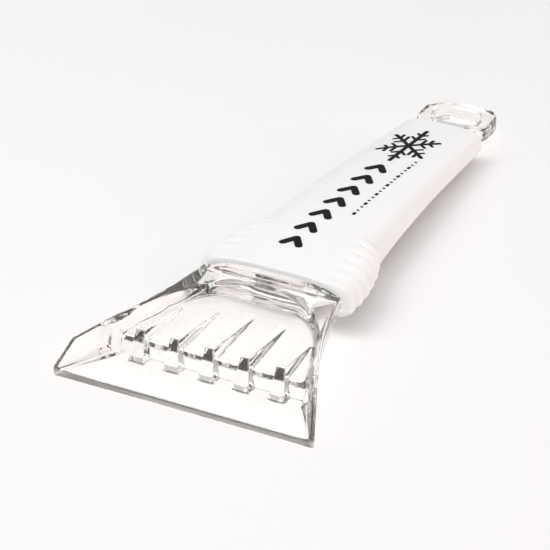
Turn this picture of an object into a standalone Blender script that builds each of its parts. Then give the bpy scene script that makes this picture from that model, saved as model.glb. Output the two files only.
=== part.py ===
"""Windshield ice scraper: a clear one-piece blade, tray, tang and hang loop between two white grip shells.

The scraper lies on the flat underside of its blade and on the rear of its handle. X is its width, Y its
length with the cutting edge at -Y and the hang loop at +Y, and Z is up. Sizes are in millimetres, and
places along Y are measured from the cutting edge.
"""

import math

import bmesh
import bpy

MM = 0.001

# Blade, lip and side rails
BLADE_WIDTH = 101.8
BLADE_CORNER = 2.2
HEAD_LENGTH = 66.0
NECK_WIDTH = 53.6
FLARE_RUN_OUT = 4.0
FLARE_POWER = 1.53
EDGE_THICKNESS = 2.8
LIP_REAR_THICKNESS = 2.1
SIDE_DRAFT = 2.0
RAIL_SHOULDER = 9.0
RAIL_SHOULDER_HEIGHT = 11.8
RAIL_TOOTH_HEIGHT = 13.8
RAIL_FALL = 1.6
RAIL_EDGE = 0.8
RAIL_WIDTH_FRONT = 6.8
RAIL_WIDTH_MIDDLE = 4.6
RAIL_WIDTH_REAR = 6.0
FIN_FOOT = 4.6
NECK_HEIGHT = 16.6
UNDER_STEP_SETBACK = 2.6
UNDER_STEP_LENGTH = 3.0
UNDER_STEP_HEIGHT = 4.3
UNDER_NECK_HEIGHT = 8.4

# Ice-breaker teeth
TOOTH_COUNT = 7
TOOTH_BASE_WIDTH = 6.3
TOOTH_CREST_WIDTH = 3.3
TOOTH_TAIL_WIDTH = 1.8
TOOTH_FRONT = 16.6
TOOTH_LEAN = 4.1
TOOTH_HEIGHT = 13.5
TOOTH_ROOT = 0.7
TOOTH_LENGTH = 29.6
TOOTH_LENGTH_LOSS = 3.8
TOOTH_CONVERGENCE = 0.045
END_TOOTH_LENGTH = 15.0
END_TOOTH_SHIFT = 0.8

# Tray between the rails
RISER_SETBACK = 5.2
TRAY_FRONT_HEIGHT = 8.7
RIM_LENGTH = 5.8
TRAY_RISE = 2.3
TRAY_ARCH = 2.6
TRAY_CORNER = 7.0
TRAY_DRAFT = 0.6
WALL_SLOPE = 0.5

# Handle shells
HEAD_GAP = 0.4
GRIP_LENGTH = 146.6
GRIP_WALL = 2.2
GRIP_FRONT_HALF = 28.8
GRIP_SHOULDER_HALF = 28.7
SHOULDER_PLACE = 13.6
GRIP_WAIST_HALF = 24.4
WAIST_PLACE = 36.6
GRIP_MIDDLE_HALF = 20.7
MIDDLE_PLACE = 83.6
GRIP_REAR_HALF = 17.3
GRIP_TOP_FRONT = 21.3
GRIP_TOP_WAIST = 21.8
GRIP_TOP_MIDDLE = 19.3
PARTING_FRONT = 11.1
PARTING_MIDDLE = 10.9
PARTING_REAR = 7.4
GRIP_UNDER_FRONT = 5.2
GRIP_UNDER_WAIST = 4.4
GRIP_UNDER_MIDDLE = 3.4
GRIP_FOOT_LENGTH = 6.0
GRIP_SQUARENESS = 3.2
GRIP_UNDER_SQUARENESS = 2.1
REAR_CORNER = 5.0
RIB_COUNT = 6
RIB_DEPTH = 1.7
GAP = 0.3
MARGIN = 1.0

# Tang, locating pins and hang loop
PLUG_DEPTH = 9.0
NECK_ROOT = 2.0
TANG_HALF = 9.0
TANG_THICKNESS = 6.0
TANG_CLEARANCE = 0.5
PIN_SHARES = (0.22, 0.54, 0.87)
PIN_RADIUS = 1.5
BOSS_RADIUS = 3.4
LOOP_HALF = 15.4
LOOP_NECK_HALF = 12.6
LOOP_ROOT = 4.4
LOOP_LENGTH = 25.0
LOOP_MIDDLE_HEIGHT = 8.05
LOOP_LIP = 0.15
LOOP_CORNER = 9.5
LOOP_EDGE = 1.0
LOOP_HOLE_INSET = 6.0
LOOP_HOLE_LENGTH = 12.6
LOOP_HOLE_HALF = 9.8
LOOP_HOLE_CORNER = 5.4

# Places and heights that follow from the sizes above
FLARE_LENGTH = HEAD_LENGTH + FLARE_RUN_OUT
TOOTH_CREST_START = TOOTH_FRONT + TOOTH_LEAN
TRAY_FRONT = TOOTH_FRONT + RISER_SETBACK
TRAY_REAR = HEAD_LENGTH - RIM_LENGTH
UNDER_STEP_START = TRAY_FRONT + UNDER_STEP_SETBACK
UNDER_STEP_END = UNDER_STEP_START + UNDER_STEP_LENGTH
GRIP_START = HEAD_LENGTH + HEAD_GAP
GRIP_SHOULDER = GRIP_START + SHOULDER_PLACE
GRIP_WAIST = GRIP_START + WAIST_PLACE
GRIP_MIDDLE = GRIP_START + MIDDLE_PLACE
GRIP_END = GRIP_START + GRIP_LENGTH
GRIP_TOP_REAR = LOOP_MIDDLE_HEIGHT + TANG_THICKNESS / 2 + GAP + GRIP_WALL
PIN_PLACES = [GRIP_START + share * GRIP_LENGTH for share in PIN_SHARES]
LOOP_UNDER = LOOP_MIDDLE_HEIGHT - TANG_THICKNESS / 2 - LOOP_LIP
LOOP_TOP = LOOP_MIDDLE_HEIGHT + TANG_THICKNESS / 2 + LOOP_LIP
LOOP_END = GRIP_END + LOOP_LENGTH
LOOP_HOLE_START = GRIP_END + LOOP_HOLE_INSET
LOOP_HOLE_END = LOOP_HOLE_START + LOOP_HOLE_LENGTH

# How finely curves are divided
HEAD_STEPS = 22
ARC_STEPS = 6
SHELL_ARC_STEPS = 14
STEPS_PER_RIB = 6
GRIP_STEPS = 14
PLUG_STEPS = 3
PIN_SIDES = 16


def straight_value(y, stations):
    """The value at y on straight runs between (place, value) stations."""
    if y <= stations[0][0]:
        return stations[0][1]
    for (y0, v0), (y1, v1) in zip(stations, stations[1:]):
        if y <= y1:
            return v0 + (v1 - v0) * (y - y0) / (y1 - y0)
    return stations[-1][1]


def smooth_value(y, stations):
    """The value at y on a smooth curve through (place, value) stations."""
    slopes = [(b[1] - a[1]) / (b[0] - a[0]) for a, b in zip(stations, stations[1:])]
    ends = [slopes[0]] + [(a + b) / 2 for a, b in zip(slopes, slopes[1:])] + [slopes[-1]]
    if y <= stations[0][0]:
        return stations[0][1]
    for i, ((y0, v0), (y1, v1)) in enumerate(zip(stations, stations[1:])):
        if y <= y1:
            span = y1 - y0
            t = (y - y0) / span
            return (
                v0 * (1 + 2 * t) * (1 - t) ** 2
                + ends[i] * span * t * (1 - t) ** 2
                + v1 * t * t * (3 - 2 * t)
                + ends[i + 1] * span * t * t * (t - 1)
            )
    return stations[-1][1]


def spread(start, end, steps):
    """Evenly spaced places from start to end, both included."""
    return [start + (end - start) * i / steps for i in range(steps + 1)]


# ---------------------------------------------------------------- shape of the head


def outer_half(y):
    """Half the head's width at y: a concave flare from the neck to the cutting edge."""
    flare = max(0.0, 1 - y / FLARE_LENGTH) ** FLARE_POWER
    half = (NECK_WIDTH + (BLADE_WIDTH - NECK_WIDTH) * flare) / 2
    if y < BLADE_CORNER:
        half -= BLADE_CORNER - math.sqrt(BLADE_CORNER**2 - (BLADE_CORNER - y) ** 2)
    return half


def rail_width(y):
    stations = [
        (TOOTH_FRONT, RAIL_WIDTH_FRONT),
        (TOOTH_FRONT + TOOTH_LENGTH / 2, RAIL_WIDTH_MIDDLE),
        (TRAY_REAR, RAIL_WIDTH_REAR),
    ]
    return straight_value(y, stations)


def inner_half(y):
    """Half the width between the rails; in front of the teeth it opens to the blade's corners."""
    if y >= TOOTH_FRONT:
        return outer_half(y) - rail_width(y)
    at_teeth = outer_half(TOOTH_FRONT) - rail_width(TOOTH_FRONT)
    at_edge = BLADE_WIDTH / 2 - FIN_FOOT
    return at_edge + (at_teeth - at_edge) * y / TOOTH_FRONT


def head_top(y):
    stations = [
        (0.0, EDGE_THICKNESS + RAIL_EDGE / 2),
        (RAIL_EDGE, EDGE_THICKNESS + RAIL_EDGE / 2),
        (RAIL_SHOULDER, RAIL_SHOULDER_HEIGHT),
        (TOOTH_CREST_START, RAIL_TOOTH_HEIGHT),
        (TRAY_REAR, NECK_HEIGHT),
        (HEAD_LENGTH, NECK_HEIGHT),
    ]
    return straight_value(y, stations)


def head_under(y):
    stations = [
        (0.0, 0.0),
        (UNDER_STEP_START, 0.0),
        (UNDER_STEP_END, UNDER_STEP_HEIGHT),
        (HEAD_LENGTH, UNDER_NECK_HEIGHT),
    ]
    return straight_value(y, stations)


def tray_floor(y):
    slope = TRAY_RISE / (TRAY_REAR - TRAY_FRONT)
    return TRAY_FRONT_HEIGHT + slope * (y - TRAY_FRONT)


def lip_top(y):
    return EDGE_THICKNESS + (LIP_REAR_THICKNESS - EDGE_THICKNESS) * y / TOOTH_FRONT


# ---------------------------------------------------------------- shape of the handle


def grip_half(y):
    stations = [
        (GRIP_START, GRIP_FRONT_HALF),
        (GRIP_SHOULDER, GRIP_SHOULDER_HALF),
        (GRIP_WAIST, GRIP_WAIST_HALF),
        (GRIP_MIDDLE, GRIP_MIDDLE_HALF),
        (GRIP_END, GRIP_REAR_HALF),
    ]
    return smooth_value(y, stations)


def grip_top(y):
    stations = [
        (GRIP_START, GRIP_TOP_FRONT),
        (GRIP_WAIST, GRIP_TOP_WAIST),
        (GRIP_MIDDLE, GRIP_TOP_MIDDLE),
        (GRIP_END, GRIP_TOP_REAR),
    ]
    return smooth_value(y, stations)


def grip_under(y):
    stations = [
        (GRIP_START, GRIP_UNDER_FRONT),
        (GRIP_WAIST, GRIP_UNDER_WAIST),
        (GRIP_MIDDLE, GRIP_UNDER_MIDDLE),
        (GRIP_END - GRIP_FOOT_LENGTH, 0.0),
        (GRIP_END, 0.0),
    ]
    return smooth_value(y, stations)


def parting(y):
    stations = [
        (GRIP_START, PARTING_FRONT),
        (GRIP_WAIST, PARTING_FRONT),
        (GRIP_MIDDLE, PARTING_MIDDLE),
        (GRIP_END, PARTING_REAR),
    ]
    return smooth_value(y, stations)


def rear_rounding(y):
    """How far the handle's outline pulls in near its rear edge."""
    into = y - (GRIP_END - REAR_CORNER)
    return REAR_CORNER - math.sqrt(REAR_CORNER**2 - into**2) if into > 0 else 0.0


def rib_bulge(y):
    """Height of the scalloped finger ribs on the handle's sides: round lobes with sharp valleys."""
    t = (y - GRIP_START) / (GRIP_WAIST - GRIP_START)
    if not 0 < t < 1:
        return 0.0
    return RIB_DEPTH * math.sqrt(abs(math.sin(math.pi * RIB_COUNT * t)))


def shell_ring(y, side, inset, bulge, seam):
    """One cross-section of a grip shell at y: side 1 is the upper half, -1 the lower half."""
    pull = rear_rounding(y)
    half = grip_half(y) - inset - pull
    tall = (grip_top(y) - parting(y) if side > 0 else parting(y) - grip_under(y)) - inset - pull / 4
    power = 2 / (GRIP_SQUARENESS if side > 0 else GRIP_UNDER_SQUARENESS)
    ring = []
    for i in range(SHELL_ARC_STEPS + 1):
        angle = math.pi * i / SHELL_ARC_STEPS
        across = math.copysign(abs(math.cos(angle)) ** power, math.cos(angle))
        up = math.sin(angle) ** power
        wide = half + bulge * (1 - up)
        ring.append((wide * across, y, parting(y) + side * (seam + (tall - seam) * up)))
    return ring if side > 0 else ring[::-1]


# ---------------------------------------------------------------- mesh tools


def make_object(name, points, faces, material=None):
    mesh = bpy.data.meshes.new(name)
    mesh.from_pydata([[c * MM for c in p] for p in points], [], faces)
    mesh.validate()
    bm = bmesh.new()
    bm.from_mesh(mesh)
    bmesh.ops.recalc_face_normals(bm, faces=bm.faces)
    bm.to_mesh(mesh)
    bm.free()
    piece = bpy.data.objects.new(name, mesh)
    bpy.context.scene.collection.objects.link(piece)
    if material:
        mesh.materials.append(material)
    return piece


def loft(name, rings, material=None):
    """A closed solid through rings of equal length, with a flat cap on each end."""
    count = len(rings[0])
    points = [p for ring in rings for p in ring]
    faces = [list(range(count))[::-1], list(range(len(points) - count, len(points)))]
    for r in range(len(rings) - 1):
        for i in range(count):
            j = (i + 1) % count
            faces.append([r * count + i, r * count + j, (r + 1) * count + j, (r + 1) * count + i])
    return make_object(name, points, faces, material)


def side_prism(name, profile, half):
    """A side profile of (y, z) points, extruded across the width."""
    return loft(name, [[(x, y, z) for y, z in profile] for x in (-half, half)])


def plan_prism(name, outline, low, high):
    """A plan outline of (x, y) points, extruded upwards."""
    return loft(name, [[(x, y, z) for x, y in outline] for z in (low, high)])


def post(name, x, y, radius, low, high):
    turns = [2 * math.pi * i / PIN_SIDES for i in range(PIN_SIDES)]
    outline = [(x + radius * math.cos(a), y + radius * math.sin(a)) for a in turns]
    return plan_prism(name, outline, low, high)


def combine(target, other, operation):
    """Applies a Boolean to the target and hides the other solid as a guide."""
    step = target.modifiers.new(operation.title(), "BOOLEAN")
    step.operation = operation
    step.solver = "EXACT"
    step.object = other
    other.hide_render = True
    other.display_type = "WIRE"


def settle(piece):
    """Replaces an object's mesh by the result of its modifiers, and removes the guides it used."""
    guides = [m.object for m in piece.modifiers if m.type == "BOOLEAN"]
    bpy.context.view_layer.update()
    shaped = piece.evaluated_get(bpy.context.evaluated_depsgraph_get())
    mesh = bpy.data.meshes.new_from_object(shaped)
    piece.modifiers.clear()
    piece.data = mesh
    for guide in guides:
        bpy.data.objects.remove(guide, do_unlink=True)


def plastic(name, colour, roughness, transmission=0.0):
    material = bpy.data.materials.new(name)
    material.use_nodes = True
    shader = material.node_tree.nodes["Principled BSDF"]
    shader.inputs["Base Color"].default_value = (*colour, 1.0)
    shader.inputs["Roughness"].default_value = roughness
    shader.inputs["Metallic"].default_value = 0.0
    shader.inputs["Transmission Weight"].default_value = transmission
    return material


# ---------------------------------------------------------------- pieces


def head_solid():
    """The head before its lip and tray are cut: flared in plan, thin at the edge, tall at the neck."""
    corner = [BLADE_CORNER * (1 - math.cos(math.pi / 2 * i / ARC_STEPS)) for i in range(ARC_STEPS)]
    ramp = [RAIL_SHOULDER * (i + 1) / ARC_STEPS for i in range(1, ARC_STEPS)]
    places = corner + [BLADE_CORNER] + [y for y in ramp if y > BLADE_CORNER]
    places += spread(RAIL_SHOULDER, HEAD_LENGTH, HEAD_STEPS)[1:]
    places = sorted(set(places) | {UNDER_STEP_START, UNDER_STEP_END, TOOTH_CREST_START, TRAY_REAR})
    rings = []
    for y in places:
        half = outer_half(y)
        top = head_top(y)
        under = head_under(y)
        edge = min(RAIL_EDGE, (top - under) / 4)
        fall = RAIL_FALL * min(1.0, y / RAIL_SHOULDER) * max(0.0, min(1.0, (TRAY_REAR - y) / TRAY_CORNER))
        low_half = half - SIDE_DRAFT * min(1.0, y / UNDER_STEP_END)
        crest = half - edge
        inner = max(inner_half(min(y, TRAY_REAR)) - TRAY_DRAFT, crest / 4)
        side = [(low_half, under), (half, top - edge), (crest, top), (inner, top - fall)]
        ring = [(x, y, z) for x, z in side] + [(-x, y, z) for x, z in reversed(side)]
        rings.append(ring)
    return loft("clear_scraper_body", rings)


def tray_outline(grow):
    """The space between the rails in plan, from in front of the edge to the arched rear rim."""
    before = -UNDER_STEP_START
    turn = TRAY_REAR - TRAY_ARCH - TRAY_CORNER
    side = [(inner_half(before), before)]
    side += [(inner_half(y), y) for y in spread(TOOTH_FRONT, turn, HEAD_STEPS // 2)]
    at_turn = inner_half(turn) - TRAY_CORNER
    for i in range(1, ARC_STEPS + 1):
        angle = math.pi / 2 * i / ARC_STEPS
        side.append((at_turn + TRAY_CORNER * math.cos(angle), turn + TRAY_CORNER * math.sin(angle)))
    for x in spread(at_turn, 0.0, ARC_STEPS)[1:-1]:
        side.append((x, TRAY_REAR - TRAY_ARCH * (x / at_turn) ** 2))
    side = [(x + grow, y + (grow if y > turn else 0.0)) for x, y in side]
    return side + [(0.0, TRAY_REAR + grow)] + [(-x, y) for x, y in reversed(side)]


def tray_space():
    """The space over the lip, the riser and the tray floor, with drafted walls."""
    floor_low, roof = -BLADE_WIDTH / 4, BLADE_WIDTH / 2
    levels = [
        (floor_low, -TRAY_DRAFT),
        (TRAY_FRONT_HEIGHT, TRAY_DRAFT),
        (roof, TRAY_DRAFT + WALL_SLOPE * (roof - TRAY_FRONT_HEIGHT)),
    ]
    rings = [[(x, y, z) for x, y in tray_outline(grow)] for z, grow in levels]
    space = loft("tray_space", rings)
    before, behind = -UNDER_STEP_START, TRAY_REAR * 2
    profile = [
        (before, lip_top(before)),
        (TRAY_FRONT - TRAY_DRAFT, lip_top(TRAY_FRONT - TRAY_DRAFT)),
        (TRAY_FRONT, TRAY_FRONT_HEIGHT),
        (behind, tray_floor(behind)),
        (behind, roof - BLADE_WIDTH / 10),
        (before, roof - BLADE_WIDTH / 10),
    ]
    combine(space, side_prism("tray_profile", profile, BLADE_WIDTH), "INTERSECT")
    settle(space)
    return space


def tooth(centre, length):
    """One wedge tooth: a leaning front, a narrow crest and a tail that turns in and sinks into the floor."""
    low = 0.0
    tail = TOOTH_CREST_START + length
    crest = TOOTH_CREST_START
    slope = (tray_floor(tail) - TOOTH_HEIGHT) / length
    beyond = EDGE_THICKNESS
    sections = [
        (TOOTH_FRONT, TOOTH_BASE_WIDTH, low, TOOTH_BASE_WIDTH, lip_top(TOOTH_FRONT)),
        (crest, TOOTH_BASE_WIDTH, low, TOOTH_CREST_WIDTH, TOOTH_HEIGHT),
        (tail + beyond, TOOTH_TAIL_WIDTH, low, TOOTH_TAIL_WIDTH, tray_floor(tail) + slope * beyond),
    ]
    rings = []
    for y, base, bottom, top_width, top in sections:
        middle = centre * (1 - TOOTH_CONVERGENCE * max(0.0, y - crest) / length)
        ring = [(middle + side * base / 2, y, bottom) for side in (-1, 1)]
        ring += [(middle + side * top_width / 2, y, top) for side in (1, -1)]
        rings.append(ring)
    return loft("tooth", rings)


def teeth_row():
    """All the teeth, trimmed to the head's outline; the outermost two stand on the rails."""
    last = (TOOTH_COUNT - 1) / 2
    end_centre = outer_half(TOOTH_CREST_START) - TOOTH_CREST_WIDTH / 2
    pitch = (end_centre + END_TOOTH_SHIFT) / last
    row = None
    for i in range(TOOTH_COUNT):
        place = i - last
        if abs(place) == last:
            piece = tooth(math.copysign(end_centre, place), END_TOOTH_LENGTH)
        else:
            loss = TOOTH_LENGTH_LOSS * (place / (last - 1)) ** 2
            piece = tooth(place * pitch, TOOTH_LENGTH - loss)
        if row:
            combine(row, piece, "UNION")
        else:
            row = piece
    places = spread(TOOTH_FRONT - MARGIN, TRAY_REAR, HEAD_STEPS)
    side = [(outer_half(y) - SIDE_DRAFT, y) for y in places]
    outline = side + [(-x, y) for x, y in reversed(side)]
    combine(row, plan_prism("teeth_outline", outline, -MARGIN, BLADE_WIDTH / 2), "INTERSECT")
    bends = [places[0], UNDER_STEP_START, UNDER_STEP_END, places[-1]]
    profile = [(y, head_under(y) + TOOTH_ROOT) for y in bends]
    profile += [(places[-1], BLADE_WIDTH / 2), (places[0], BLADE_WIDTH / 2)]
    combine(row, side_prism("teeth_underside", profile, BLADE_WIDTH), "INTERSECT")
    settle(row)
    return row


def neck_plug():
    """The collar that fills the open front of the grip shells."""
    rings = []
    for y in [HEAD_LENGTH - NECK_ROOT] + spread(GRIP_START, GRIP_START + PLUG_DEPTH, PLUG_STEPS):
        at = max(y, GRIP_START)
        upper = shell_ring(at, 1, GRIP_WALL + GAP, 0.0, 0.0)
        lower = shell_ring(at, -1, GRIP_WALL + GAP, 0.0, 0.0)
        rings.append([(x, y, z) for x, _, z in upper + lower[1:-1]])
    return loft("neck_plug", rings)


def hollow_floor(x, y):
    """Height of the lower shell's inside, x away from the centre line."""
    depth = parting(y) - grip_under(y) - GRIP_WALL
    share = x / (grip_half(y) - GRIP_WALL)
    return parting(y) - depth * (1 - share**GRIP_UNDER_SQUARENESS) ** (1 / GRIP_UNDER_SQUARENESS)


def tang_rings():
    """Sections of the tang: it lies just over the lower shell, then runs into the hang loop."""
    along_shell = [GRIP_START + PLUG_DEPTH / 2, GRIP_WAIST, GRIP_MIDDLE]
    places = [(y, hollow_floor(TANG_HALF, y) + TANG_CLEARANCE + TANG_THICKNESS / 2) for y in along_shell]
    places += [
        (GRIP_END - GRIP_FOOT_LENGTH, LOOP_MIDDLE_HEIGHT),
        (LOOP_HOLE_START - LOOP_EDGE * 2, LOOP_MIDDLE_HEIGHT),
    ]
    rings = []
    for y, middle in places:
        low, high = middle - TANG_THICKNESS / 2, middle + TANG_THICKNESS / 2
        rings.append([(-TANG_HALF, y, low), (TANG_HALF, y, low), (TANG_HALF, y, high), (-TANG_HALF, y, high)])
    return rings


def loop_outline(grow):
    """The hang loop in plan, from inside the handle to its rounded end."""
    neck = GRIP_END - LOOP_ROOT
    swell = GRIP_END + REAR_CORNER
    side = [(LOOP_NECK_HALF + grow, neck), (LOOP_NECK_HALF + grow, GRIP_END + GAP)]
    for i in range(1, ARC_STEPS + 1):
        t = i / ARC_STEPS
        ease = t * t * (3 - 2 * t)
        wide = LOOP_NECK_HALF + (LOOP_HALF - LOOP_NECK_HALF) * ease
        side.append((wide + grow, GRIP_END + GAP + (swell - GRIP_END) * t))
    for i in range(ARC_STEPS + 1):
        angle = math.pi / 2 * i / ARC_STEPS
        radius = LOOP_CORNER + grow
        side.append((LOOP_HALF - LOOP_CORNER + radius * math.cos(angle),
                     LOOP_END - LOOP_CORNER + radius * math.sin(angle)))
    return side + [(-x, y) for x, y in reversed(side)]


def hole_outline():
    corners = []
    for quarter, (sx, place) in enumerate(((1, 1), (-1, 1), (-1, 0), (1, 0))):
        middle_x = sx * (LOOP_HOLE_HALF - LOOP_HOLE_CORNER)
        middle_y = (LOOP_HOLE_END - LOOP_HOLE_CORNER) if place else (LOOP_HOLE_START + LOOP_HOLE_CORNER)
        for i in range(ARC_STEPS + 1):
            angle = math.pi / 2 * (quarter + i / ARC_STEPS)
            corners.append((middle_x + LOOP_HOLE_CORNER * math.cos(angle),
                            middle_y + LOOP_HOLE_CORNER * math.sin(angle)))
    return corners


def loop_solid():
    levels = [
        (LOOP_UNDER, -LOOP_EDGE),
        (LOOP_UNDER + LOOP_EDGE, 0.0),
        (LOOP_TOP - LOOP_EDGE, 0.0),
        (LOOP_TOP, -LOOP_EDGE),
    ]
    rings = [[(x, y, z) for x, y in loop_outline(grow)] for z, grow in levels]
    loop = loft("hang_loop", rings)
    hole = plan_prism("loop_hole", hole_outline(), LOOP_UNDER - MARGIN, LOOP_TOP + MARGIN)
    combine(loop, hole, "DIFFERENCE")
    settle(loop)
    return loop


def clear_body(material):
    body = head_solid()
    combine(body, tray_space(), "DIFFERENCE")
    combine(body, teeth_row(), "UNION")
    combine(body, neck_plug(), "UNION")
    combine(body, loft("tang", tang_rings()), "UNION")
    combine(body, loop_solid(), "UNION")
    for y in PIN_PLACES:
        hole = post("pin_hole", 0.0, y, PIN_RADIUS + 2 * GAP, 0.0, NECK_HEIGHT * 2)
        combine(body, hole, "DIFFERENCE")
    settle(body)
    body.data.materials.clear()
    body.data.materials.append(material)
    return body


def grip_places():
    ribs = spread(GRIP_START, GRIP_WAIST, RIB_COUNT * STEPS_PER_RIB)
    middle = spread(GRIP_WAIST, GRIP_END - REAR_CORNER, GRIP_STEPS)[1:]
    foot = [GRIP_END - GRIP_FOOT_LENGTH]
    turns = [math.pi / 2 * i / ARC_STEPS for i in range(1, ARC_STEPS)]
    corner = [GRIP_END - REAR_CORNER * (1 - math.sin(a)) for a in turns]
    return sorted(ribs + middle + foot + corner)


def grip_shell(name, side, material):
    """One half of the handle: an open-fronted shell, closed at the rear round the hang loop's neck."""
    rings = [shell_ring(y, side, 0.0, rib_bulge(y), GAP / 2) for y in grip_places()]
    shell = loft(name, rings)
    inside_end = GRIP_END - GRIP_WALL
    places = [GRIP_START - MARGIN] + spread(GRIP_START, GRIP_START + PLUG_DEPTH, PLUG_STEPS)
    places += spread(GRIP_START + PLUG_DEPTH, inside_end - REAR_CORNER / 2, GRIP_STEPS)[1:] + [inside_end]
    hollow = []
    for y in places:
        ring = [(x, y, z) for x, _, z in shell_ring(max(y, GRIP_START), side, GRIP_WALL, 0.0, 0.0)]
        past_seam = parting(y) - side * GRIP_WALL
        hollow.append([(ring[0][0], y, past_seam)] + ring + [(ring[-1][0], y, past_seam)])
    combine(shell, loft("hollow", hollow), "DIFFERENCE")
    slot_half = LOOP_NECK_HALF + GAP
    slot_start = GRIP_END - LOOP_ROOT - GAP
    slot_end = GRIP_END + GRIP_WALL
    slot = [(-slot_half, slot_start), (slot_half, slot_start), (slot_half, slot_end), (-slot_half, slot_end)]
    slot_solid = plan_prism("loop_slot", slot, LOOP_UNDER - GAP, LOOP_TOP + GAP)
    combine(shell, slot_solid, "DIFFERENCE")
    for y in PIN_PLACES:
        if side > 0:
            pin_end = (parting(y) + grip_under(y)) / 2
            pin = post("pin", 0.0, y, PIN_RADIUS, pin_end, grip_top(y) - GRIP_WALL / 2)
            combine(shell, pin, "UNION")
        else:
            tang = tang_bottom(y)
            boss = post("boss", 0.0, y, BOSS_RADIUS, grip_under(y) + GRIP_WALL / 2, tang - GAP)
            combine(shell, boss, "UNION")
            bore = post("bore", 0.0, y, PIN_RADIUS + GAP, grip_under(y) + GRIP_WALL, tang + MARGIN)
            combine(shell, bore, "DIFFERENCE")
    settle(shell)
    shell.data.materials.clear()
    shell.data.materials.append(material)
    return shell


def tang_bottom(y):
    rings = tang_rings()
    return straight_value(y, [(ring[0][1], ring[0][2]) for ring in rings])


def finish(piece, frame, smooth_angle):
    piece.parent = frame
    piece.data.shade_smooth()
    piece.data.set_sharp_from_angle(angle=math.radians(smooth_angle))


def main():
    for old in list(bpy.data.objects):
        bpy.data.objects.remove(old, do_unlink=True)
    frame = bpy.data.objects.new("scraper_frame", None)
    frame.location = (0.0, -LOOP_END / 2 * MM, 0.0)
    bpy.context.scene.collection.objects.link(frame)
    clear = plastic("clear_polystyrene", (0.95, 0.95, 0.93), 0.03, 1.0)
    upper_white = plastic("white_plastic_upper", (0.90, 0.91, 0.92), 0.35)
    lower_white = plastic("white_plastic_lower", (0.86, 0.86, 0.87), 0.38)
    finish(clear_body(clear), frame, 25)
    finish(grip_shell("upper_grip_shell", 1, upper_white), frame, 40)
    finish(grip_shell("lower_grip_shell", -1, lower_white), frame, 40)
    bpy.context.view_layer.update()


main()
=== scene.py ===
"""The windshield ice scraper's finished look: clear styrene head and loop, white grip shells and black print.

Sizes are in millimetres from the cutting edge (Y) and the resting plane (Z), and become metres in the frame,
whose origin is under the middle of the scraper.
"""

import math

import bmesh
import bpy
import numpy as np
from mathutils import Matrix, Vector
from mathutils.geometry import delaunay_2d_cdt


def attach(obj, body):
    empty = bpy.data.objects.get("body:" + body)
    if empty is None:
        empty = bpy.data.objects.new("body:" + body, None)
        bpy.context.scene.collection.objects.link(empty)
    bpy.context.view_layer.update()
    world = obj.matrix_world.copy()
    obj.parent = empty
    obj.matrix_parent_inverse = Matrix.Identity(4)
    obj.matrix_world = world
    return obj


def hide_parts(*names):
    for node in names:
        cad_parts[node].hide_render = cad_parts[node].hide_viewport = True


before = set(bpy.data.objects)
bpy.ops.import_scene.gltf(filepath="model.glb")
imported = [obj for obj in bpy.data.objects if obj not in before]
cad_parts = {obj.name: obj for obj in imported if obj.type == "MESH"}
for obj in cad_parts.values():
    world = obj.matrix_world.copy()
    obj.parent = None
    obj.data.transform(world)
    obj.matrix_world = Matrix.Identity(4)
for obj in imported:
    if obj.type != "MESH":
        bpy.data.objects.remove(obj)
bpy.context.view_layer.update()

MM = 0.001
LENGTH = 238.0

# Head: outline, lip, rails, teeth, tray, underside and neck step
BLADE_HALF = 51.9
NECK_HALF = 26.8
FLARE_LENGTH = 70.0
FLARE_POWER = 1.53
BLADE_CORNER = 0.9
HEAD_LENGTH = 66.0
SIDE_DRAFT = 2.0
EDGE_THICKNESS = 2.8
LIP_REAR = 2.1
RAIL_FRONT_LINE = (3.2, 1.04)
RAIL_SHOULDER = 9.0
RAIL_SHOULDER_HEIGHT = 11.8
RAIL_TOOTH_HEIGHT = 13.8
NECK_HEIGHT = 16.6
RAIL_FALL = 1.6
TOOTH_FRONT = 16.6
TOOTH_CREST_START = 20.7
TOOTH_HEIGHT = 13.5
TOOTH_BASE_HALF = 3.15
TOOTH_CREST_HALF = 1.65
TOOTH_LENGTH = 29.6
TOOTH_LENGTH_LOSS = 3.8
TOOTH_CONVERGENCE = 0.045
END_TOOTH_LENGTH = 15.0
END_TOOTH_SHIFT = 0.8
TEETH_EACH_SIDE = 3
RISER = 21.8
FLOOR_FRONT = 8.7
FLOOR_REAR = 11.0
TRAY_REAR = 60.2
TRAY_ARCH = 2.6
TRAY_CORNER = 9.0
RAIL_WIDTHS = ((16.6, 6.8), (31.4, 4.6), (60.2, 6.0))
FIN_FOOT = 4.6
WALL_SLOPE = 0.42
FIN_SLOPE = 0.6
FIN_THIN = 1.8
UNDER_PLACES = ((0.0, 0.0), (24.4, 0.0), (27.4, 4.3), (66.0, 8.4))
PLATEAU_HALF = 19.0
PLATEAU_START = 62.0
PLATEAU_RUN = 3.6
PLATEAU_TOP = 18.7
EDGE_ROUND = 0.5
TRAY_FILLET = 1.3

# Shares that turn a distance across a slanted wall into one nearly square to it
SIDE_SLANT = 0.93
TRAY_BACK_SLANT = 0.95
TRAY_SIDE_SLANT = 0.9
PLATEAU_SLANT = 0.85

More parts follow.
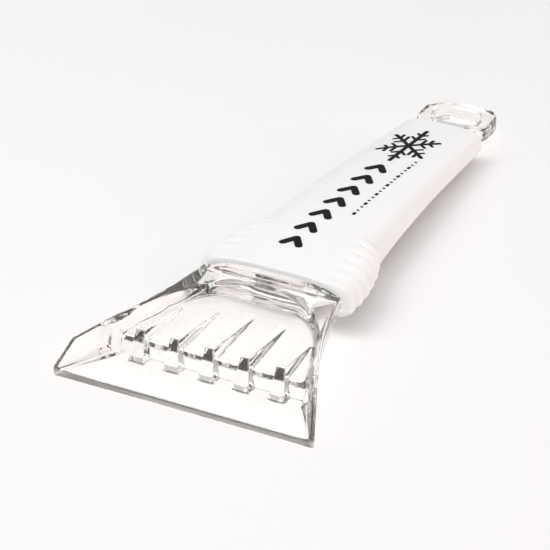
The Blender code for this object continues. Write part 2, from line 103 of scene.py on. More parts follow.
# Handle
GRIP_START = 66.4
GRIP_END = 213.0
GRIP_WALL = 2.2
GRIP_HALF = ((66.4, 28.8), (80.0, 28.7), (103.0, 24.4), (150.0, 20.7), (213.0, 17.3))
GRIP_TOP = ((66.4, 21.24), (103.0, 21.72), (150.0, 19.25), (213.0, 13.5))
PARTING = ((66.4, 11.1), (103.0, 11.1), (150.0, 10.9), (213.0, 7.4))
GRIP_UNDER = ((66.4, 5.2), (103.0, 4.4), (150.0, 3.4), (207.0, 0.0), (213.0, 0.0))
UPPER_POWER = 3.2
LOWER_POWER = 2.1
REAR_CORNER = 2.4
RIB_COUNT = 6
RIB_END = 103.0
RIB_DEPTH = 2.4
GAP = 0.3
PLUG_DEPTH = 9.0
SLOT_DEPTH = 4.4

# Tang and loop
LOOP_MIDDLE = 8.05
TANG_HALF = 9.0
TANG_HALF_THICK = 3.0
TANG_MIDDLE = ((70.9, 11.1), (207.0, LOOP_MIDDLE))
TANG_FRONT = 70.0
TANG_FRONT_END = 84.0
TANG_BAR = (82.0, 206.0)
TANG_REAR_START = 200.0
LOOP_HALF_THICK = 3.15
LOOP_HALF = 15.4
LOOP_NECK_HALF = 12.6
LOOP_CORNER = 9.5
HOLE_START = 219.0
HOLE_END = 231.6
HOLE_HALF = 9.8
HOLE_CORNER = 5.4

# Print, laid on the upper shell as a film that goes a little into its surface
FILM_ABOVE = 0.05
FILM_BELOW = 0.06
CHEVRON_COUNT = 7
CHEVRON_START = 84.0
CHEVRON_PITCH = 11.6
CHEVRON_MIDDLE = -2.0
CHEVRON_WIDE = 3.2
CHEVRON_TALL = 4.6
CHEVRON_BAR = 1.45
FLAKE_CENTRE = (-1.5, 182.5)
FLAKE_ARM = 17.4
FLAKE_SQUASH = 0.62
FLAKE_ARM_WIDTH = 1.7
FLAKE_BRANCHES = ((6.8, 5.0), (11.6, 3.8))
FLAKE_BRANCH_TURN = 58
FLAKE_BRANCH_WIDTH = 1.3
DOT_COUNT = 18
DOT_START = 115.0
DOT_PITCH = 3.15
DOT_LINE = 8.0
DOT_HALF_WIDE = 0.62
DOT_ROUND = 0.55
DASH_HALF_LONG = 1.15

# Sky, from the horizon up: places on the colour ramp and their colours
SKY_LOW = (0.12, 0.12, 0.135)
SKY_MIDDLE = (0.8, 0.81, 0.83)
SKY_TOP = (1.0, 1.0, 1.0)
SKY_STOPS = ((0.0, SKY_LOW), (0.09, SKY_LOW), (0.24, SKY_MIDDLE), (0.75, SKY_TOP))
SKY_STRENGTH = 0.62

# Lights that aim at the middle of the scraper: name, place and size in metres, watts and colour
LIGHTS = (
    ("key", (-0.6, -0.5, 1.0), 0.9, 5.2, (1.0, 0.99, 0.97)),
    ("top", (0.0, -0.1, 1.4), 1.2, 4.4, (0.96, 0.98, 1.0)),
    ("side", (1.0, 0.1, 0.34), 0.8, 3.8, (1.0, 0.72, 0.60)),
)
FLOOR_SIZE = 8.0
FLOOR_DROP = 0.0004

# Camera: angles in degrees, distance and aim in millimetres
AZIMUTH = 27.86
ELEVATION = 28.66
TILT = 1.41
DISTANCE = 850.0
AIM = (-16.29, 98.47, 0.0)
SENSOR = 36.0
LENS = 150.74

# Wear on the cutting edge: where it starts, where it is full, and the roughness it adds there
EDGE_WEAR = 0.5
EDGE_WEAR_FULL = 0.05
EDGE_FROSTING = 0.5

# Boxes and cell sizes of the meshes made from distance fields
HEAD_BOX = ((-52.0, -1.2, -1.0), (52.0, 86.0, 20.4))
HEAD_PITCH = 0.5
LOOP_BOX = ((-16.8, 198.0, 3.4), (16.8, 239.4, 12.8))
LOOP_PITCH = 0.4

# Edges sharper than these angles, in degrees, stay sharp in the shading
CLEAR_SHARP = 60
SHELL_SHARP = 38


def along(stations, y):
    """Values at the places y, on straight runs between (place, value) stations."""
    return np.interp(y, [s[0] for s in stations], [s[1] for s in stations])


def smooth_along(stations, y):
    """The value at y on a smooth curve through (place, value) stations."""
    slopes = [(b[1] - a[1]) / (b[0] - a[0]) for a, b in zip(stations, stations[1:])]
    ends = [slopes[0]] + [(a + b) / 2 for a, b in zip(slopes, slopes[1:])] + [slopes[-1]]
    if y <= stations[0][0]:
        return stations[0][1]
    for i, ((y0, v0), (y1, v1)) in enumerate(zip(stations, stations[1:])):
        if y <= y1:
            span = y1 - y0
            t = (y - y0) / span
            return (
                v0 * (1 + 2 * t) * (1 - t) ** 2
                + ends[i] * span * t * (1 - t) ** 2
                + v1 * t * t * (3 - 2 * t)
                + ends[i + 1] * span * t * t * (t - 1)
            )
    return stations[-1][1]


# ---------------------------------------------------------------- distance fields


def both(a, b, soft=EDGE_ROUND):
    """Inside both: the larger of two distances, with a rounded edge where they meet."""
    h = np.maximum(soft - np.abs(a - b), 0.0) / soft
    return np.maximum(a, b) + h * h * soft / 4


def either(a, b, soft=EDGE_ROUND):
    """Inside either: the smaller of two distances, with a filleted corner where they meet."""
    return -both(-a, -b, soft)


def outer_half(y):
    """Half the head's width, measured at the top of its sides."""
    return NECK_HALF + (BLADE_HALF - NECK_HALF) * np.clip(1 - y / FLARE_LENGTH, 0, 1) ** FLARE_POWER


def drafted_half(y, z):
    """Half the head's width at height z: the sides lean in towards the resting plane."""
    return outer_half(y) - SIDE_DRAFT * np.clip(1 - z / NECK_HEIGHT, 0, 1)


def inner_half(y):
    """Half the distance between the rails: fins in front of the teeth, wider walls behind them."""
    behind = outer_half(y) - along(RAIL_WIDTHS, y)
    at_teeth = outer_half(TOOTH_FRONT) - RAIL_WIDTHS[0][1]
    at_edge = BLADE_HALF - FIN_FOOT
    return np.where(y < TOOTH_FRONT, at_edge + (at_teeth - at_edge) * y / TOOTH_FRONT, behind)


def tray_floor(y):
    """Height of the tray floor, which climbs to the neck."""
    return FLOOR_FRONT + (FLOOR_REAR - FLOOR_FRONT) * (y - RISER) / (TRAY_REAR - RISER)


def lip_top(y):
    """Height of the lip's top, which falls from the cutting edge to the teeth."""
    return EDGE_THICKNESS + (LIP_REAR - EDGE_THICKNESS) * y / TOOTH_FRONT


def head_envelope(x, y, z):
    """The head without its tray: outline, rail tops and underside."""
    across = np.abs(x)
    side = (across - drafted_half(y, z)) * SIDE_SLANT
    shape = both(side, -y, BLADE_CORNER)
    shape = both(shape, y - HEAD_LENGTH, EDGE_ROUND)
    ramp = (z - RAIL_FRONT_LINE[0] - RAIL_FRONT_LINE[1] * y) / math.hypot(1, RAIL_FRONT_LINE[1])
    rise = (RAIL_TOOTH_HEIGHT - RAIL_SHOULDER_HEIGHT) / (TOOTH_CREST_START - RAIL_SHOULDER)
    front = z - RAIL_SHOULDER_HEIGHT - rise * (y - RAIL_SHOULDER)
    rise = (NECK_HEIGHT - RAIL_TOOTH_HEIGHT) / (TRAY_REAR - TOOTH_CREST_START)
    rear = z - RAIL_TOOTH_HEIGHT - rise * (y - TOOTH_CREST_START)
    top = both(both(front, rear, 0.6), z - NECK_HEIGHT, 0.6)
    top = both(top, ramp, 0.5)
    width = along(RAIL_WIDTHS, y)
    inward = np.clip((outer_half(y) - across - 1.0) / width, 0.0, 1.4)
    fall = RAIL_FALL * np.clip(y / RAIL_SHOULDER, 0, 1) * np.clip((TRAY_REAR - y) / TRAY_CORNER, 0, 1)
    shape = both(shape, top + fall * inward, 0.7)
    under = along(UNDER_PLACES, y) - z
    return both(shape, under, 0.5)


def tray_space(x, y, z):
    """The air over the lip and the tray floor, between the rails."""
    across = np.abs(x)
    ahead = np.clip((TOOTH_CREST_START - y) / 4.0, 0, 1)
    lean = np.where(y < RISER, (WALL_SLOPE + FIN_SLOPE * ahead) * (z - 2.1), WALL_SLOPE * (z - tray_floor(y)))
    fin = np.minimum(inner_half(y) + lean, drafted_half(y, z) - FIN_THIN - (1 - ahead) * 2.0)
    wall = np.where(y < RISER, fin, inner_half(y) + lean)
    side = (across - wall) / math.hypot(1, WALL_SLOPE) * TRAY_SIDE_SLANT
    arch = TRAY_REAR - TRAY_ARCH * (across / 16.0) ** 2
    back = (y - arch - 0.25 * (z - FLOOR_REAR)) * TRAY_BACK_SLANT
    walls = both(side, back, TRAY_CORNER)
    riser = y - RISER + 0.06 * (FLOOR_FRONT - z)
    bottom = either(both(lip_top(y) - z, riser, 0.35), both(lip_top(y) - z, tray_floor(y) - z, 0.35), 0.45)
    return both(walls, bottom, TRAY_FILLET)


def one_tooth(x, y, z, centre, length):
    """A tooth with a leaning front, sloping sides and a crest that runs down to the tray floor."""
    back = TOOTH_CREST_START + length
    middle = centre * (1 - TOOTH_CONVERGENCE * np.clip((y - TOOTH_CREST_START) / length, 0, 1))
    taper = (TOOTH_BASE_HALF - TOOTH_CREST_HALF) / (TOOTH_HEIGHT - LIP_REAR)
    side = np.abs(x - middle) - TOOTH_BASE_HALF + taper * (z - LIP_REAR)
    lean = (TOOTH_CREST_START - TOOTH_FRONT) / (TOOTH_HEIGHT - LIP_REAR)
    front = (TOOTH_FRONT + lean * (z - LIP_REAR) - y) / math.hypot(1, lean)
    drop = (TOOTH_HEIGHT - tray_floor(back)) / length
    top = z - TOOTH_HEIGHT + drop * (y - TOOTH_CREST_START)
    shape = both(both(side, front, 0.35), top, 0.35)
    return both(shape, 0.3 - z, 0.3)


def teeth(x, y, z):
    """The row of teeth: the middle one, pairs beside it, and short end teeth against the rails."""
    end_centre = outer_half(TOOTH_CREST_START) - TOOTH_CREST_HALF
    pitch = (end_centre + END_TOOTH_SHIFT) / TEETH_EACH_SIDE
    across = np.abs(x)
    row = one_tooth(across, y, z, 0.0, TOOTH_LENGTH)
    for i in range(1, TEETH_EACH_SIDE):
        loss = TOOTH_LENGTH_LOSS * (i / (TEETH_EACH_SIDE - 1)) ** 2
        row = np.minimum(row, one_tooth(across, y, z, i * pitch, TOOTH_LENGTH - loss))
    row = np.minimum(row, one_tooth(across, y, z, end_centre, END_TOOTH_LENGTH))
    outline = (across - drafted_half(y, z)) * SIDE_SLANT
    under = along(UNDER_PLACES, y) + 0.5 - z
    return both(both(row, outline, 0.6), under, 0.3)


def grip_section(x, y, z, inset):
    """Distance outside the grip's rounded section, shrunk by inset."""
    places = np.linspace(GRIP_START, GRIP_END, 60)

    def tabled(stations):
        return np.interp(y, places, [smooth_along(stations, p) for p in places])

    half = tabled(GRIP_HALF) - inset
    middle = tabled(PARTING)
    up = tabled(GRIP_TOP) - middle - inset
    down = middle - tabled(GRIP_UNDER) - inset
    rise = z - middle
    upper = ((np.abs(x) / half) ** UPPER_POWER + (np.abs(rise) / up) ** UPPER_POWER) ** (1 / UPPER_POWER)
    lower = ((np.abs(x) / half) ** LOWER_POWER + (np.abs(rise) / down) ** LOWER_POWER) ** (1 / LOWER_POWER)
    return np.where(rise > 0, (upper - 1) * up, (lower - 1) * down)


def neck_plug(x, y, z):
    """The block behind the tray that fills the front of the handle's hollow."""
    ends = np.maximum(HEAD_LENGTH - 2.0 - y, y - GRIP_START - PLUG_DEPTH)
    return both(grip_section(x, np.maximum(y, GRIP_START), z, GRIP_WALL + GAP), ends, 0.6)


def plateau(x, y, z):
    """The low step on the neck that leads under the grip's front edge."""
    ramp = z - NECK_HEIGHT + 0.3 - (PLATEAU_TOP - NECK_HEIGHT) * (y - PLATEAU_START) / PLATEAU_RUN
    shape = both(np.abs(x) - PLATEAU_HALF, ramp * PLATEAU_SLANT, 1.2)
    shape = both(shape, z - PLATEAU_TOP, 0.8)
    return np.maximum(shape, np.maximum(y - 68.0, 12.0 - z))


def tang_height(y):
    """Height of the tang's middle, which falls towards the loop."""
    return along(TANG_MIDDLE, y)


def tang(x, y, z, end):
    """The flat bar that runs back through the handle, as far as end."""
    bar = both(np.abs(x) - TANG_HALF, np.abs(z - tang_height(y)) - TANG_HALF_THICK, 0.6)
    return np.maximum(bar, np.maximum(TANG_FRONT - y, y - end))


def head(x, y, z):
    """Everything in front of the tang's middle stretch, as one solid."""
    body = both(head_envelope(x, y, z), -tray_space(x, y, z), 0.6)
    body = either(body, teeth(x, y, z), 0.35)
    body = either(body, neck_plug(x, y, z), 0.5)
    body = either(body, plateau(x, y, z), 0.5)
    return either(body, tang(x, y, z, TANG_FRONT_END), 0.4)


def rounded_box(x, y, half_x, half_y, corner):
    """Distance outside a rounded rectangle centred on the origin."""
    dx = np.abs(x) - half_x + corner
    dy = np.abs(y) - half_y + corner
    outside = np.hypot(np.maximum(dx, 0), np.maximum(dy, 0))
    return outside + np.minimum(np.maximum(dx, dy), 0) - corner


def loop(x, y, z):
    """The hang loop: a rounded ring round the hole, on a narrower neck that goes into the handle."""
    start = GRIP_END + GAP
    ring = rounded_box(x, y - (start + LENGTH) / 2, LOOP_HALF, (LENGTH - start) / 2, LOOP_CORNER)
    stem = np.maximum(np.abs(x) - LOOP_NECK_HALF, np.maximum(GRIP_END - SLOT_DEPTH - y, y - GRIP_END - 8.0))
    plan = either(ring, stem, 3.0)
    hole_middle, hole_half = (HOLE_START + HOLE_END) / 2, (HOLE_END - HOLE_START) / 2
    hole = rounded_box(x, y - hole_middle, HOLE_HALF, hole_half, HOLE_CORNER)
    thick = np.abs(z - LOOP_MIDDLE) - LOOP_HALF_THICK
    shape = both(both(plan, thick, 1.3), -hole, 0.9)
    stub = np.maximum(tang(x, y, z, HOLE_START - 2.0), TANG_REAR_START - y)
    return either(shape, stub, 0.4)


# ---------------------------------------------------------------- meshes


def net_mesh(field, low, high, pitch):
    """A quad mesh on the zero surface of a distance field: one point for each cell that it crosses."""
    counts = [int(math.ceil((b - a) / pitch)) + 1 for a, b in zip(low, high)]
    axes = [a + pitch * np.arange(n) for a, n in zip(low, counts)]
    gx, gy, gz = np.meshgrid(*axes, indexing="ij")
    values = field(gx, gy, gz)
    del gx, gy, gz
    inside = values < 0
    nx, ny, nz = (n - 1 for n in counts)
    corners = [(i, j, k) for i in (0, 1) for j in (0, 1) for k in (0, 1)]

    def corner(grid, c):
        return grid[c[0] : c[0] + nx, c[1] : c[1] + ny, c[2] : c[2] + nz]

    total = sum(corner(inside, c).astype(np.int8) for c in corners)
    active = (total > 0) & (total < 8)
    cells = np.argwhere(active)
    index = np.full(active.shape, -1, dtype=np.int64)
    index[active] = np.arange(len(cells))
    point_sum = np.zeros((len(cells), 3))
    crossings = np.zeros(len(cells))
    at = {c: corner(values, c)[active] for c in corners}
    for c in corners:
        for axis in range(3):
            if c[axis]:
                continue
            d = list(c)
            d[axis] = 1
            a, b = at[c], at[tuple(d)]
            cut = (a < 0) != (b < 0)
            t = np.where(cut, a / np.where(cut, a - b, 1.0), 0.0)
            place = np.array(c, dtype=float) + np.outer(t, np.eye(3)[axis])
            point_sum += place * cut[:, None]
            crossings += cut
    points = np.array(low) + pitch * (cells + point_sum / crossings[:, None])
    step = pitch / 20
    for _ in range(3):
        x, y, z = points.T
        here = field(x, y, z)
        slope = np.stack([
            field(x + step, y, z) - field(x - step, y, z),
            field(x, y + step, z) - field(x, y - step, z),
            field(x, y, z + step) - field(x, y, z - step),
        ], axis=1) / (2 * step)
        move = (here / np.maximum((slope**2).sum(1), 0.05))[:, None] * slope
        size = np.linalg.norm(move, axis=1, keepdims=True)
        points = points - move * np.minimum(1.0, pitch * 0.4 / np.maximum(size, 1e-9))
    faces = []
    for axis in range(3):
        u, v = [a for a in range(3) if a != axis]
        near = [slice(None)] * 3
        far = [slice(None)] * 3
        near[axis], far[axis] = slice(0, -1), slice(1, None)
        a, b = inside[tuple(near)], inside[tuple(far)]
        for sign, flip in ((a & ~b, axis == 1), (b & ~a, axis != 1)):
            spots = np.argwhere(sign)
            spots = spots[(spots[:, u] > 0) & (spots[:, v] > 0)]
            spots = spots[(spots[:, u] < counts[u] - 1) & (spots[:, v] < counts[v] - 1)]
            quad = []
            for du, dv in ((1, 1), (0, 1), (0, 0), (1, 0)):
                cell = spots.copy()
                cell[:, u] -= du
                cell[:, v] -= dv
                quad.append(index[cell[:, 0], cell[:, 1], cell[:, 2]])
            quad = np.stack(quad, axis=1)
            faces.append(quad[:, ::-1] if flip else quad)
    return points, np.concatenate(faces)


def link(name, mesh, material):
    """A new piece in the scene, with its mesh and its material."""
    mesh.materials.append(material)
    piece = bpy.data.objects.new(name, mesh)
    bpy.context.scene.collection.objects.link(piece)
    return piece


def smoothed(piece, material, sharp):
    """Gives a combined piece its material and smooth shading, with edges over sharp degrees kept."""
    piece.data.materials.clear()
    piece.data.materials.append(material)
    piece.data.shade_smooth()
    piece.data.set_sharp_from_angle(angle=math.radians(sharp))
    return piece


def placed(points):
    """Points in millimetres from the cutting edge, as metres in the frame."""
    return (np.asarray(points, dtype=float) - (0.0, LENGTH / 2, 0.0)) * MM


def mesh_of(name, points, faces):
    """A mesh in metres from points in millimetres."""
    mesh = bpy.data.meshes.new(name)
    mesh.from_pydata(placed(points).tolist(), [], [list(map(int, f)) for f in faces])
    mesh.validate()
    return mesh


def loft_mesh(name, rings):
    """A closed mesh through rings of points, with a flat cap at each end."""
    count = len(rings[0])
    points = [p for ring in rings for p in ring]
    faces = [list(range(count))[::-1], list(range(len(points) - count, len(points)))]
    for r in range(len(rings) - 1):
        for i in range(count):
            j = (i + 1) % count
            faces.append([r * count + i, r * count + j, (r + 1) * count + j, (r + 1) * count + i])
    mesh = mesh_of(name, points, faces)
    bm = bmesh.new()
    bm.from_mesh(mesh)
    bmesh.ops.recalc_face_normals(bm, faces=bm.faces)
    bm.to_mesh(mesh)
    bm.free()
    return mesh


def combine(piece, mesh, operation, solver="EXACT"):
    """Applies one Boolean with a helper solid, and removes the helper."""
    helper = bpy.data.objects.new("helper", mesh)
    bpy.context.scene.collection.objects.link(helper)
    step = piece.modifiers.new("join", "BOOLEAN")
    step.operation = operation
    step.solver = solver
    step.object = helper
    bpy.context.view_layer.update()
    shaped = piece.evaluated_get(bpy.context.evaluated_depsgraph_get())
    result = bpy.data.meshes.new_from_object(shaped)
    piece.modifiers.clear()
    piece.data = result
    bpy.data.objects.remove(helper, do_unlink=True)


def rib_bulge(y):
    """How far the finger ribs stand out at y: RIB_COUNT humps that fade out at the last."""
    t = (y - GRIP_START) / (RIB_END - GRIP_START)
    if not 0 < t < 1:
        return 0.0
    fade = min(1.0, (1 - t) * RIB_COUNT)
    return RIB_DEPTH * fade * (abs(math.sin(math.pi * RIB_COUNT * t)) ** 0.55 - 0.25)


def shell_ring(y, side, inset, bulge, seam, steps):
    """One cross-section of a grip shell: side 1 is the upper half, -1 the lower."""
    into = max(0.0, y - GRIP_END + REAR_CORNER)
    pull = REAR_CORNER - math.sqrt(REAR_CORNER**2 - into**2)
    middle = smooth_along(PARTING, y)
    half = smooth_along(GRIP_HALF, y) - inset - pull
    reach = smooth_along(GRIP_TOP, y) - middle if side > 0 else middle - smooth_along(GRIP_UNDER, y)
    tall = reach - inset - pull / 4
    power = 2 / (UPPER_POWER if side > 0 else LOWER_POWER)
    ring = []
    for i in range(steps + 1):
        angle = math.pi * i / steps
        across = math.copysign(abs(math.cos(angle)) ** power, math.cos(angle))
        up = math.sin(angle) ** power
        t = min(1.0, max(0.0, (abs(across) - 0.58) / 0.36))
        swell = bulge * t * t * (3 - 2 * t)
        z = middle + side * (seam + (tall - seam) * up + swell * 0.75 * up)
        ring.append(((half + swell) * across, y, z))
    return ring if side > 0 else ring[::-1]


def spread(start, end, steps):
    """Evenly spaced places from start to end, both included."""
    return [start + (end - start) * i / steps for i in range(steps + 1)]


def grip_shell(name, side, material):
    """A grip shell with a rounded front lip, ribbed sides and a slot for the loop's neck."""
    arc = 56
    rings = []
    lip = [(GRIP_START, 0.45), (GRIP_START + 0.12, 0.2), (GRIP_START + 0.4, 0.03)]
    rings += [shell_ring(y, side, inset, 0.0, GAP / 2, arc) for y, inset in lip]
    ribs = spread(GRIP_START + 0.6, RIB_END, RIB_COUNT * 14)
    middle = spread(RIB_END, GRIP_END - REAR_CORNER, 44)[1:]
    corner = [GRIP_END - REAR_CORNER * (1 - math.sin(math.pi / 2 * i / 10)) for i in range(1, 9)]
    places = ribs + middle + corner
    rings += [shell_ring(y, side, 0.0, rib_bulge(y), GAP / 2, arc) for y in places]
    last = rings[-1]
    rings.append([(x * 0.985, GRIP_END, z + (smooth_along(PARTING, y) - z) * 0.04) for x, y, z in last])
    shell = link(name, loft_mesh(name, rings), material)
    end = GRIP_END - GRIP_WALL
    hollow = [(GRIP_START - 1, -0.4), (GRIP_START, -0.4), (GRIP_START + 0.4, 0.0)]
    hollow += [(y, 0.0) for y in spread(GRIP_START + 1.5, end - REAR_CORNER / 2, 40) + [end]]
    inner = []
    for y, extra in hollow:
        ring = shell_ring(max(y, GRIP_START), side, GRIP_WALL + extra, 0.0, 0.0, arc)
        past = smooth_along(PARTING, y) - side * GRIP_WALL
        ring = [(x, y, z) for x, _, z in ring]
        inner.append([(ring[0][0], y, past)] + ring + [(ring[-1][0], y, past)])
    combine(shell, loft_mesh("hollow", inner), "DIFFERENCE")
    slot_half = LOOP_NECK_HALF + GAP
    levels = (LOOP_MIDDLE - LOOP_HALF_THICK - GAP, LOOP_MIDDLE + LOOP_HALF_THICK + GAP)
    start = GRIP_END - SLOT_DEPTH - GAP
    plan = [(-slot_half, start), (slot_half, start), (slot_half, GRIP_END + 2), (-slot_half, GRIP_END + 2)]
    slot = [[(x, y, z) for x, y in plan] for z in levels]
    combine(shell, loft_mesh("slot", slot), "DIFFERENCE")
    return smoothed(shell, material, SHELL_SHARP)


def clear_body(material):
    """Head, neck plug and tang front, the tang's middle, and the loop, joined into one solid."""
    points, faces = net_mesh(head, *HEAD_BOX, HEAD_PITCH)
    body = link("clear_scraper", mesh_of("clear_scraper", points, faces), material)
    points, faces = net_mesh(loop, *LOOP_BOX, LOOP_PITCH)
    combine(body, mesh_of("loop", points, faces), "UNION", "MANIFOLD")
    rings = []
    for y in TANG_BAR:
        low, high = tang_height(y) - TANG_HALF_THICK + 0.1, tang_height(y) + TANG_HALF_THICK - 0.1
        wide = TANG_HALF - 0.1
        rings.append([(-wide, y, low), (wide, y, low), (wide, y, high), (-wide, y, high)])
    combine(body, loft_mesh("bar", rings), "UNION", "MANIFOLD")
    return smoothed(body, material, CLEAR_SHARP)


# ---------------------------------------------------------------- print


def grip_surface(x, y):
    """Height of the upper shell's outside at (x, y)."""
    middle = smooth_along(PARTING, y)
    half = smooth_along(GRIP_HALF, y)
    share = (1 - (abs(x) / half) ** UPPER_POWER) ** (1 / UPPER_POWER)
    return middle + (smooth_along(GRIP_TOP, y) - middle) * share


def print_mesh(name, outlines, material):
    """Flat outlines laid on the upper shell as a thin film that follows its curve."""
    bm = bmesh.new()
    corners = [Vector(c) for outline in outlines for c in outline]
    starts = np.cumsum([0] + [len(outline) for outline in outlines])
    loops = [list(range(a, b)) for a, b in zip(starts, starts[1:])]
    flat, _, triangles, _, _, _ = delaunay_2d_cdt(corners, [], loops, 1, 1e-4)
    verts = [bm.verts.new((*c, 0.0)) for c in flat]
    for triangle in triangles:
        bm.faces.new([verts[i] for i in triangle])
    xs = [v.co.x for v in bm.verts]
    ys = [v.co.y for v in bm.verts]
    for axis, low, high, step in ((0, min(xs), max(xs), 1.0), (1, min(ys), max(ys), 2.5)):
        place = math.floor(low / step) * step + step
        while place < high:
            normal = Vector((1, 0, 0)) if axis == 0 else Vector((0, 1, 0))
            bmesh.ops.bisect_plane(bm, geom=bm.verts[:] + bm.edges[:] + bm.faces[:], dist=1e-5,
                                   plane_co=normal * place, plane_no=normal)
            place += step
    bottom = bm.faces[:]
    top = bmesh.ops.extrude_face_region(bm, geom=bottom)
    raised = {g for g in top["geom"] if isinstance(g, bmesh.types.BMVert)}
    for v in bm.verts:
        height = FILM_ABOVE if v in raised else -FILM_BELOW
        v.co = Vector(placed((v.co.x, v.co.y, grip_surface(v.co.x, v.co.y) + height)).tolist())
    bmesh.ops.recalc_face_normals(bm, faces=bm.faces)
    mesh = bpy.data.meshes.new(name)
    bm.to_mesh(mesh)
    bm.free()
    return link(name, mesh, material)


def bar(start, end, half):
    """A straight bar with rounded ends."""
    (x0, y0), (x1, y1) = start, end
    turn = math.atan2(y1 - y0, x1 - x0)
    outline = []
    for (x, y), first in ((end, -90), (start, 90)):
        for degrees in range(first, first + 181, 30):
            angle = turn + math.radians(degrees)
            outline.append((x + half * math.cos(angle), y + half * math.sin(angle)))
    return outline


def chevrons():
    """A row of chevrons that point to the hang loop."""
    outlines = []
    for i in range(CHEVRON_COUNT):
        y = CHEVRON_START + i * CHEVRON_PITCH
        tip = (CHEVRON_MIDDLE, y + CHEVRON_TALL)
        for side in (-1, 1):
            foot = (CHEVRON_MIDDLE + side * CHEVRON_WIDE, y)
            outlines.append(bar(foot, tip, CHEVRON_BAR))
    return outlines


def snowflake():
    """A six-armed snowflake, drawn out along the handle, with two pairs of branches on each arm."""
    cx, cy = FLAKE_CENTRE
    turn = math.radians(FLAKE_BRANCH_TURN)

    def place(r, t, angle):
        c, s = math.cos(angle), math.sin(angle)
        return cx + (r * c - t * s) * FLAKE_SQUASH, cy + r * s + t * c

    outlines = []
    for k in range(6):
        angle = math.radians(90 + 60 * k)
        outlines.append(bar(place(0, 0, angle), place(FLAKE_ARM, 0, angle), FLAKE_ARM_WIDTH / 2))
        for r, reach in FLAKE_BRANCHES:
            out, up = reach * math.sin(turn), reach * math.cos(turn)
            for side in (-1, 1):
                tip = place(r + up, side * out, angle)
                outlines.append(bar(place(r, 0, angle), tip, FLAKE_BRANCH_WIDTH / 2))
    return outlines


def dots():
    """A line of dots beside the chevrons, with every third one drawn out into a dash."""
    outlines = []
    for i in range(DOT_COUNT):
        y = DOT_START + i * DOT_PITCH
        half_long = DASH_HALF_LONG if i % 3 == 0 else DOT_ROUND
        ring = []
        for k in range(16):
            angle = 2 * math.pi * k / 16
            x = DOT_LINE + DOT_HALF_WIDE * math.cos(angle)
            end = (half_long - DOT_ROUND) * math.copysign(1, math.sin(angle))
            ring.append((x, y + end + DOT_ROUND * math.sin(angle)))
        outlines.append(ring)
    return outlines


# ---------------------------------------------------------------- materials


def node_material(name):
    """A new node material, with its tree and its shader."""
    material = bpy.data.materials.new(name)
    material.use_nodes = True
    tree = material.node_tree
    return material, tree, tree.nodes["Principled BSDF"]


def noise(tree, scale, detail=3.0, stretch=(1, 1, 1)):
    """A noise texture in the piece's own coordinates."""
    coords = tree.nodes.new("ShaderNodeTexCoord")
    mapping = tree.nodes.new("ShaderNodeMapping")
    mapping.inputs["Scale"].default_value = stretch
    texture = tree.nodes.new("ShaderNodeTexNoise")
    texture.inputs["Scale"].default_value = scale
    texture.inputs["Detail"].default_value = detail
    tree.links.new(coords.outputs["Object"], mapping.inputs["Vector"])
    tree.links.new(mapping.outputs["Vector"], texture.inputs["Vector"])
    return texture


def ranged(tree, texture, low, high):
    """The noise's middle range mapped to low and high."""
    step = tree.nodes.new("ShaderNodeMapRange")
    step.inputs["From Min"].default_value = 0.3
    step.inputs["From Max"].default_value = 0.7
    step.inputs["To Min"].default_value = low
    step.inputs["To Max"].default_value = high
    tree.links.new(texture.outputs["Fac"], step.inputs["Value"])
    return step.outputs["Result"]


def bump(tree, shader, texture, strength, distance):
    """Gives the shader fine relief from the noise, with its depth in metres."""
    step = tree.nodes.new("ShaderNodeBump")
    step.inputs["Strength"].default_value = strength
    step.inputs["Distance"].default_value = distance
    tree.links.new(texture.outputs["Fac"], step.inputs["Height"])
    tree.links.new(step.outputs["Normal"], shader.inputs["Normal"])


def tinted(tree, texture, first, second):
    """A colour between two tints, chosen by the noise."""
    mix = tree.nodes.new("ShaderNodeMix")
    mix.data_type = "RGBA"
    mix.inputs[6].default_value = (*first, 1.0)
    mix.inputs[7].default_value = (*second, 1.0)
    tree.links.new(texture.outputs["Fac"], mix.inputs[0])
    return mix.outputs[2]


def clear_plastic():
    """Polished styrene: faint waves from moulding, smudges in the gloss and a frosted cutting edge."""
    material, tree, shader = node_material("clear_styrene")
    shader.inputs["Transmission Weight"].default_value = 0.98
    shader.inputs["IOR"].default_value = 1.58
    tree.links.new(tinted(tree, noise(tree, 25), (1.0, 0.992, 0.975), (0.985, 0.975, 0.955)),
                   shader.inputs["Base Color"])
    coords = tree.nodes.new("ShaderNodeTexCoord")
    parts = tree.nodes.new("ShaderNodeSeparateXYZ")
    edge = tree.nodes.new("ShaderNodeMapRange")
    edge.inputs["From Min"].default_value = (EDGE_WEAR - LENGTH / 2) * MM
    edge.inputs["From Max"].default_value = (EDGE_WEAR_FULL - LENGTH / 2) * MM
    edge.inputs["To Max"].default_value = EDGE_FROSTING
    total = tree.nodes.new("ShaderNodeMath")
    tree.links.new(coords.outputs["Object"], parts.inputs["Vector"])
    tree.links.new(parts.outputs["Y"], edge.inputs["Value"])
    tree.links.new(edge.outputs["Result"], total.inputs[0])
    tree.links.new(ranged(tree, noise(tree, 60, 4.0), 0.0, 0.05), total.inputs[1])
    tree.links.new(total.outputs["Value"], shader.inputs["Roughness"])
    bump(tree, shader, noise(tree, 90, 2.0, (1.0, 0.25, 1.0)), 0.12, 0.0006)
    return material


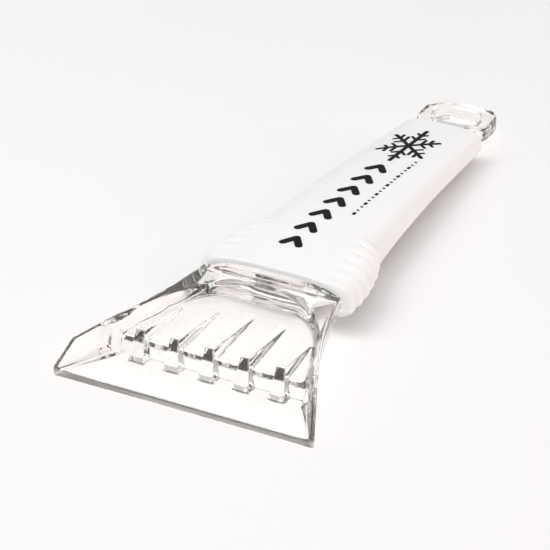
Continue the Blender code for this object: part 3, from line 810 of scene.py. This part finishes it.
def white_plastic(name, first, second):
    """Satin white moulding: fine grain, and gloss that varies a little over the surface."""
    material, tree, shader = node_material(name)
    tree.links.new(tinted(tree, noise(tree, 40), first, second), shader.inputs["Base Color"])
    tree.links.new(ranged(tree, noise(tree, 120, 5.0), 0.32, 0.46), shader.inputs["Roughness"])
    shader.inputs["IOR"].default_value = 1.48
    shader.inputs["Subsurface Weight"].default_value = 0.5
    shader.inputs["Subsurface Radius"].default_value = (1.0, 0.85, 0.7)
    shader.inputs["Subsurface Scale"].default_value = 0.002
    bump(tree, shader, noise(tree, 1400, 2.0), 0.05, 0.0002)
    return material


def black_print():
    """Matt ink: a slightly uneven black with a fine grain."""
    material, tree, shader = node_material("black_print")
    tree.links.new(tinted(tree, noise(tree, 300), (0.004, 0.004, 0.004), (0.012, 0.012, 0.013)),
                   shader.inputs["Base Color"])
    tree.links.new(ranged(tree, noise(tree, 700, 4.0), 0.45, 0.6), shader.inputs["Roughness"])
    shader.inputs["Specular IOR Level"].default_value = 0.12
    bump(tree, shader, noise(tree, 1800, 2.0), 0.08, 0.0001)
    return material


# ---------------------------------------------------------------- stage


def stage():
    """The pale floor, the sky and the lights."""
    material, tree, shader = node_material("pale_floor")
    tree.links.new(tinted(tree, noise(tree, 4), (0.885, 0.89, 0.895), (0.905, 0.91, 0.915)),
                   shader.inputs["Base Color"])
    tree.links.new(ranged(tree, noise(tree, 20), 0.8, 0.95), shader.inputs["Roughness"])
    bpy.ops.mesh.primitive_plane_add(size=FLOOR_SIZE, location=(0, 0, -FLOOR_DROP))
    floor = bpy.context.object
    floor.name = "floor"
    floor.data.materials.append(material)
    world = bpy.data.worlds.new("studio")
    world.use_nodes = True
    bpy.context.scene.world = world
    tree = world.node_tree
    background = tree.nodes["Background"]
    background.inputs["Strength"].default_value = SKY_STRENGTH
    coords = tree.nodes.new("ShaderNodeTexCoord")
    parts = tree.nodes.new("ShaderNodeSeparateXYZ")
    ramp = tree.nodes.new("ShaderNodeValToRGB")
    ramp.color_ramp.interpolation = "EASE"
    for place, _ in SKY_STOPS[2:]:
        ramp.color_ramp.elements.new(place)
    for element, (place, colour) in zip(ramp.color_ramp.elements, SKY_STOPS):
        element.position = place
        element.color = (*colour, 1.0)
    tree.links.new(coords.outputs["Generated"], parts.inputs["Vector"])
    tree.links.new(parts.outputs["Z"], ramp.inputs["Fac"])
    tree.links.new(ramp.outputs["Color"], background.inputs["Color"])
    for name, place, size, power, colour in LIGHTS:
        data = bpy.data.lights.new(name, "AREA")
        data.size = size
        data.energy = power
        data.color = colour
        light = bpy.data.objects.new(name, data)
        light.location = place
        light.rotation_euler = (-Vector(place)).to_track_quat("-Z", "Y").to_euler()
        bpy.context.scene.collection.objects.link(light)


def camera():
    """The main view: low, from the right of the blade, through a long lens."""
    azimuth, elevation, tilt = math.radians(AZIMUTH), math.radians(ELEVATION), math.radians(TILT)
    level = math.cos(elevation)
    forward = Vector((-math.sin(azimuth) * level, math.cos(azimuth) * level, -math.sin(elevation)))
    right = Vector((math.cos(azimuth), math.sin(azimuth), 0.0))
    turn = Matrix.Rotation(-tilt, 3, "X")
    place = turn @ (Vector(AIM) - forward * DISTANCE) - Vector((0.0, LENGTH / 2, 0.0))
    forward, right = turn @ forward, turn @ right
    up = right.cross(forward)
    data = bpy.data.cameras.new("camera")
    data.sensor_width = SENSOR
    data.lens = LENS
    view = bpy.data.objects.new("camera", data)
    basis = Matrix((right, up, -forward)).transposed().to_4x4()
    view.matrix_world = Matrix.Translation(place * MM) @ basis
    data.clip_start = 0.01
    bpy.context.scene.collection.objects.link(view)
    bpy.context.scene.camera = view


def main():
    bpy.context.scene.view_settings.view_transform = "Standard"
    clear = clear_plastic()
    # Both shells are one white plastic in two copies. The lower shell's darker, greyer copy is painted shade
    # for the underside, and the upper copy's faint cool tint is painted light from above.
    upper_white_painted_light = white_plastic("upper_white_painted_light", (0.90, 0.915, 0.935), (0.88, 0.895, 0.915))
    lower_white_painted_shade = white_plastic("lower_white_painted_shade", (0.86, 0.86, 0.865), (0.83, 0.83, 0.835))
    ink = black_print()
    body = clear_body(clear)
    upper = grip_shell("upper_grip", 1, upper_white_painted_light)
    lower = grip_shell("lower_grip", -1, lower_white_painted_shade)
    # Direct light passes through the clear body, and reaches its neck and tang under the upper shell
    body.visible_shadow = False
    upper.visible_shadow = False
    for piece, node, slot in ((body, "clear_scraper_body", "clear_plastic"),
                              (upper, "upper_grip_shell", "white_plastic_upper"),
                              (lower, "lower_grip_shell", "white_plastic_lower")):
        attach(piece, "root")
        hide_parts(node)
    for name, outlines in (("print_chevrons", chevrons()),
                           ("print_snowflake", snowflake()),
                           ("print_dots", dots())):
        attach(print_mesh(name, outlines, ink), "root")
    stage()
    camera()


main()
